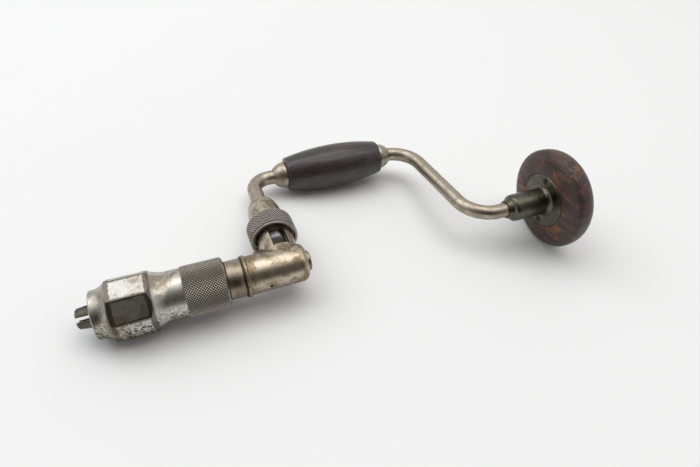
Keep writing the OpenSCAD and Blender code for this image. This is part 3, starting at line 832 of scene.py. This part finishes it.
@dataclass
class Ratchet:
    """The housing, the shifter ring and the cap, with what turns inside.

    Attributes:
        knurl_start: where the ring's knurl starts above the main axis, in millimetres.
        knurl_end: where it ends, in millimetres.
        knurl_r: radius of its valleys, in millimetres.
        knurl_h: height of its points, in millimetres.
        around: diamonds round the ring.
        bevel_at: where the upper pawl's bevel meets the bar's top, in millimetres.
        bar_r: radius of the bar that the pawls are cut from, in millimetres.
    """

    knurl_start: float = 28.7
    knurl_end: float = 42.0
    knurl_r: float = 16.31
    knurl_h: float = 0.4
    around: int = 56
    bevel_at: float = 23.5
    bar_r: float = 7.4

    def bevelled_pawl(self) -> bpy.types.Object:
        """Cuts the bevel that shows in the window on a copy of the upper pawl.

        Returns:
            The finished object.
        """
        piece = smooth_skin("pawl_upper")
        place = crank_matrix()
        start_edit()
        bpy.context.view_layer.objects.active = piece
        piece.select_set(True)
        bpy.ops.object.mode_set(mode="EDIT")
        bpy.ops.mesh.select_all(action="SELECT")
        corner = place @ Vector((0, self.bevel_at * MM, self.bar_r * MM))
        lean = place.to_3x3() @ Vector((0, math.cos(math.radians(38)), -math.sin(math.radians(38))))
        bpy.ops.mesh.bisect(plane_co=corner, plane_no=lean, use_fill=True, clear_inner=True)
        bpy.ops.object.mode_set(mode="OBJECT")
        bpy.ops.object.shade_smooth_by_angle(angle=math.radians(24))
        return piece

    def build(self) -> None:
        """Builds and dresses the ratchet."""
        cast = WornPlate("housing_nickel", plate=(0.53, 0.47, 0.37), tarnish=(0.23, 0.16, 0.09), cover=0.6,
                         pits=0.62, rough=0.28, under=(12 * MM, 30 * MM), bore=7.8 * MM,
                         grain=0.6).build()
        capped = WornPlate("cap_nickel", plate=(0.52, 0.47, 0.38), tarnish=(0.21, 0.16, 0.10), cover=0.55,
                           pits=0.3, rough=0.32, line=Line.ARM, grain=0.6).build()
        ring_metal = WornPlate("ring_nickel", plate=(0.45, 0.41, 0.37), tarnish=(0.22, 0.18, 0.15), cover=0.4,
                               pits=0.15, rough=0.36, line=Line.ARM).build()
        for node, finish, body in (("ratchet_housing", cast, "crank"), ("arm_cap", capped, "crank"),
                                   ("shifter_ring", ring_metal, "shifter")):
            skin = smooth_skin(node)
            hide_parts(node)
            dress(skin, finish, body)
        knurl = knurl_band("ring_knurl", Line.ARM, self.knurl_start, self.knurl_end, self.knurl_r,
                           self.knurl_h, self.around)
        points = Knurl("ring_knurl_steel", self.knurl_r * MM, (self.knurl_r + self.knurl_h) * MM,
                       worn=(0.56, 0.51, 0.47), dirt=(0.040, 0.034, 0.030), line=Line.ARM)
        dress(knurl, points.build(), "shifter")
        plain = Patina("machined_steel", (0.22, 0.22, 0.21), (0.34, 0.34, 0.32), 0.4).build()
        pawl = self.bevelled_pawl()
        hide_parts("pawl_upper")
        dress(pawl, plain, "upper_pawl")
        for node in ("pawl_lower", "arm_pin", "detent_ball", "gear_key"):
            paint(node, plain)
        wire = Patina("spring_wire", (0.10, 0.10, 0.11), (0.22, 0.22, 0.22), 0.3).build()
        for node in ("pawl_spring_upper", "pawl_spring_lower", "detent_spring", "jaw_springs"):
            paint(node, wire)
        paint("front_bush", Patina("bearing_bronze", (0.36, 0.24, 0.10), (0.55, 0.40, 0.20), 0.35).build())
        dark = Patina("oiled_black_steel", (0.035, 0.033, 0.03), (0.09, 0.085, 0.075), 0.38).build()
        for node in ("thrust_washer", "ratchet_gear"):
            paint(node, dark)


@dataclass
class Crank:
    """The bent rod with its ferrules and the wooden grip.

    Attributes:
        grip_from: where the grip starts, in millimetres.
        grip_len: length of the grip, in millimetres.
        belly_r: radius at the belly, in millimetres.
        end_r: radius at the ends, in millimetres.
        bore_r: radius of the bore, in millimetres.
        belly_share: where the belly lies along the grip.
    """

    grip_from: float = 28.5
    grip_len: float = 79.3
    belly_r: float = 17.5
    end_r: float = 13.1
    bore_r: float = 5.6
    belly_share: float = 0.51

    def grip_profile(self) -> list[tuple[float, float]]:
        """Outline of the grip from its bore round its outside.

        Returns:
            Points along the handle axis with their radius, in millimetres.
        """
        belly = self.grip_from + self.grip_len * self.belly_share
        steps = 36
        inset, corner = 0.7, 0.9
        outside = []
        for i in range(steps + 1):
            along = self.grip_from + inset + (self.grip_len - 2 * inset) * i / steps
            reach = belly - self.grip_from if along < belly else self.grip_from + self.grip_len - belly
            fall = (self.belly_r - self.end_r) * ((along - belly) / reach) ** 2
            outside.append((along, self.belly_r - fall))
        end = self.grip_from + self.grip_len
        front = [(self.grip_from, self.bore_r), (self.grip_from, self.end_r - corner),
                 (self.grip_from + 0.2, self.end_r - 0.3)]
        back = [(end - 0.2, self.end_r - 0.3), (end, self.end_r - corner), (end, self.bore_r)]
        return front + outside + back + [(self.grip_from, self.bore_r)]

    def build(self) -> None:
        """Builds and dresses the crank."""
        rod = WornPlate("rod_nickel", plate=(0.44, 0.39, 0.32), tarnish=(0.26, 0.20, 0.135), cover=0.6,
                        pits=0.34, rough=0.29, grain=0.4, mottle=0.5).build()
        for node in ("crank_rod", "front_ferrule", "rear_ferrule"):
            skin = smooth_skin(node)
            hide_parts(node)
            dress(skin, rod, "crank")
        grip = spin_profile("turned_grip", self.grip_profile(), Line.HANDLE)
        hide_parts("grip")
        wood = Rosewood("grip_rosewood", (0.042, 0.022, 0.018), (0.009, 0.006, 0.006), (0.115, 0.058, 0.040),
                        0.5, line=Line.HANDLE, coat=0.55, fine=0.7, sheen=0.2)
        dress(grip, wood.build(), "handle")


@dataclass
class Head:
    """The wooden pad with its quill, plate, screws and bearing.

    Attributes:
        face: where the pad's front face lies, in millimetres.
        wide: where the pad is widest, in millimetres.
        thick: thickness of the pad, in millimetres.
        rim_r: radius of the pad, in millimetres.
        hub_r: radius of the pocket for the plate, in millimetres.
        pocket: where the pocket's floor lies, in millimetres.
    """

    face: float = 206.9
    wide: float = 213.9
    thick: float = 28.0
    rim_r: float = 39.0
    hub_r: float = 21.6
    pocket: float = 210.1

    def pad_profile(self) -> list[tuple[float, float]]:
        """Outline of the pad from the pocket round the rim to the back.

        Returns:
            Points along the main axis with their radius, in millimetres.
        """
        steps = 26
        front, back = self.wide - self.face, self.thick - (self.wide - self.face)
        points = [(self.pocket, 0.0), (self.pocket, self.hub_r), (self.face + 0.4, self.hub_r)]
        for i in range(1, steps + 1):
            turn = math.pi / 2 * i / steps
            points.append((self.wide - front * max(math.cos(turn), 0.0) ** 0.8,
                           self.hub_r + (self.rim_r - self.hub_r) * math.sin(turn) ** 0.85))
        for i in range(1, steps + 1):
            turn = math.pi / 2 * i / steps
            points.append((self.wide + back * math.sin(turn) ** 0.77,
                           self.rim_r * max(math.cos(turn), 0.0) ** 0.77))
        return points

    def build(self) -> None:
        """Builds and dresses the head."""
        pad = spin_profile("turned_pad", self.pad_profile(), Line.MAIN, steps=128)
        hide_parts("head_pad")
        wood = Rosewood("pad_rosewood", (0.105, 0.036, 0.017), (0.018, 0.008, 0.006), (0.32, 0.12, 0.035),
                        0.6,
                        across=True, coat=0.22, fine=0.6, sheen=0.25)
        dress(pad, wood.build(), "head")
        gunmetal = Patina("gunmetal", (0.105, 0.098, 0.074), (0.15, 0.14, 0.11), 0.24).build()
        quill = smooth_skin("head_quill")
        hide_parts("head_quill")
        dress(quill, gunmetal, "head")
        paint("head_screws", Patina("screw_steel", (0.04, 0.037, 0.03), (0.12, 0.11, 0.09), 0.4).build())
        bearing = Patina("bearing_steel", (0.34, 0.33, 0.31), (0.52, 0.51, 0.48), 0.28).build()
        for node in ("head_collar", "collar_pin", "head_balls", "head_race"):
            paint(node, bearing)


@dataclass
class Studio:
    """Pale floor, soft lamps and the camera.

    Attributes:
        camera_at: place of the camera, in millimetres.
        right: direction of the picture's right side.
        down: direction of the picture's lower side.
        ahead: direction that the camera looks in.
        focal_px: focal length in pixels of the picture.
        centre_px: pixel that the optical axis meets.
        size_px: size of the picture.
        sensor: width of the sensor, in millimetres.
        floor_size: width of the floor, in metres.
    """

    camera_at: RGB = (-123.83, -257.65, 297.9)
    right: RGB = (0.91000, -0.38671, 0.14927)
    down: RGB = (-0.17858, -0.69066, -0.70081)
    ahead: RGB = (0.37409, 0.61110, -0.69760)
    focal_px: float = 529.2
    centre_px: tuple[float, float] = (380.0, 223.0)
    size_px: tuple[float, float] = (700.0, 467.0)
    sensor: float = 36.0
    floor_size: float = 14.0

    def camera(self) -> None:
        """Sets the camera at the photograph's viewing angle."""
        data = bpy.data.cameras.new("camera")
        eye = bpy.data.objects.new("camera", data)
        bpy.context.scene.collection.objects.link(eye)
        wide = self.size_px[0]
        data.sensor_width = self.sensor
        data.lens = self.focal_px / wide * self.sensor
        data.shift_x = (wide / 2 - self.centre_px[0]) / wide
        data.shift_y = (self.centre_px[1] - self.size_px[1] / 2) / wide
        data.clip_start = 0.01
        turn = Matrix((self.right, [-c for c in self.down], [-c for c in self.ahead])).transposed().to_4x4()
        eye.matrix_world = Matrix.Translation(Vector(self.camera_at) * MM) @ turn
        bpy.context.scene.camera = eye

    def floor(self, ground: float) -> None:
        """Lays the pale floor.

        Args:
            ground: height of the lowest point, in metres.
        """
        start_edit()
        bpy.ops.mesh.primitive_plane_add(size=self.floor_size, location=(0, 0, ground - 0.02 * MM))
        sheet = bpy.context.object
        sheet.name = "floor"
        material = bpy.data.materials.new("pale_floor")
        material.use_nodes = True
        shader = material.node_tree.nodes["Principled BSDF"]
        shader.inputs["Base Color"].default_value = (0.89, 0.89, 0.88, 1)
        shader.inputs["Roughness"].default_value = 0.75
        shader.inputs["Specular IOR Level"].default_value = 0.2
        sheet.data.materials.append(material)
        sheet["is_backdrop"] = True

    def lamp(self, name: str, place: RGB, aim: RGB, size: tuple[float, float], power: float,
             colour: RGB = (1, 1, 1)) -> None:
        """Hangs a soft lamp.

        Args:
            name: name of the lamp.
            place: where it hangs, in metres.
            aim: point that it faces, in metres.
            size: width and height, in metres.
            power: power in watts.
            colour: colour of its light.
        """
        data = bpy.data.lights.new(name, "AREA")
        data.shape = "RECTANGLE"
        data.size, data.size_y = size
        data.energy = power
        data.color = colour
        lamp = bpy.data.objects.new(name, data)
        bpy.context.scene.collection.objects.link(lamp)
        look = (Vector(aim) - Vector(place)).to_track_quat("-Z", "Y").to_matrix().to_4x4()
        lamp.matrix_world = Matrix.Translation(place) @ look

    def surroundings(self) -> None:
        """Surrounds the brace with a pale room that is dark toward the viewer's side."""
        world = bpy.data.worlds.new("studio")
        bpy.context.scene.world = world
        world.use_nodes = True
        tree = world.node_tree
        background = tree.nodes["Background"]
        coords = tree.nodes.new("ShaderNodeTexCoord")
        facing = tree.nodes.new("ShaderNodeVectorMath")
        facing.operation = "DOT_PRODUCT"
        dark_side = Vector((-0.25, -0.85, 0.40)).normalized()
        facing.inputs[1].default_value = dark_side
        ramp = tree.nodes.new("ShaderNodeValToRGB")
        ramp.color_ramp.elements[0].position = 0.35
        ramp.color_ramp.elements[0].color = (0.72, 0.73, 0.74, 1)
        ramp.color_ramp.elements[1].position = 0.86
        ramp.color_ramp.elements[1].color = (0.06, 0.055, 0.05, 1)
        path = tree.nodes.new("ShaderNodeLightPath")
        choose = tree.nodes.new("ShaderNodeMix")
        choose.data_type = "RGBA"
        choose.inputs[7].default_value = (0.93, 0.93, 0.93, 1)
        link = tree.links.new
        link(coords.outputs["Generated"], facing.inputs[0])
        link(facing.outputs["Value"], ramp.inputs["Fac"])
        link(path.outputs["Is Camera Ray"], choose.inputs[0])
        link(ramp.outputs["Color"], choose.inputs[6])
        link(choose.outputs[2], background.inputs["Color"])
        background.inputs["Strength"].default_value = 1.0

    def build(self, ground: float) -> None:
        """Builds the studio.

        Args:
            ground: height of the brace's lowest point, in metres.
        """
        bpy.context.scene.view_settings.view_transform = "Standard"
        self.camera()
        self.floor(ground)
        self.surroundings()
        self.lamp("window", (-1.7, 1.3, 2.5), (0, 0, 0), (2.6, 2.6), 38, (0.94, 0.97, 1.0))
        self.lamp("overhead", (0.6, 0.3, 3.0), (0, 0, 0), (3.0, 2.0), 34, (1.0, 0.98, 0.95))


def main() -> None:
    """Builds the brace's looks and the studio."""
    logging.basicConfig(level=logging.INFO, format="%(name)s: %(message)s")
    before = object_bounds()
    Studio().build(before[0][2])
    for part in (Chuck(), Ratchet(), Crank(), Head()):
        part.build()


if __name__ == "__main__":
    main()
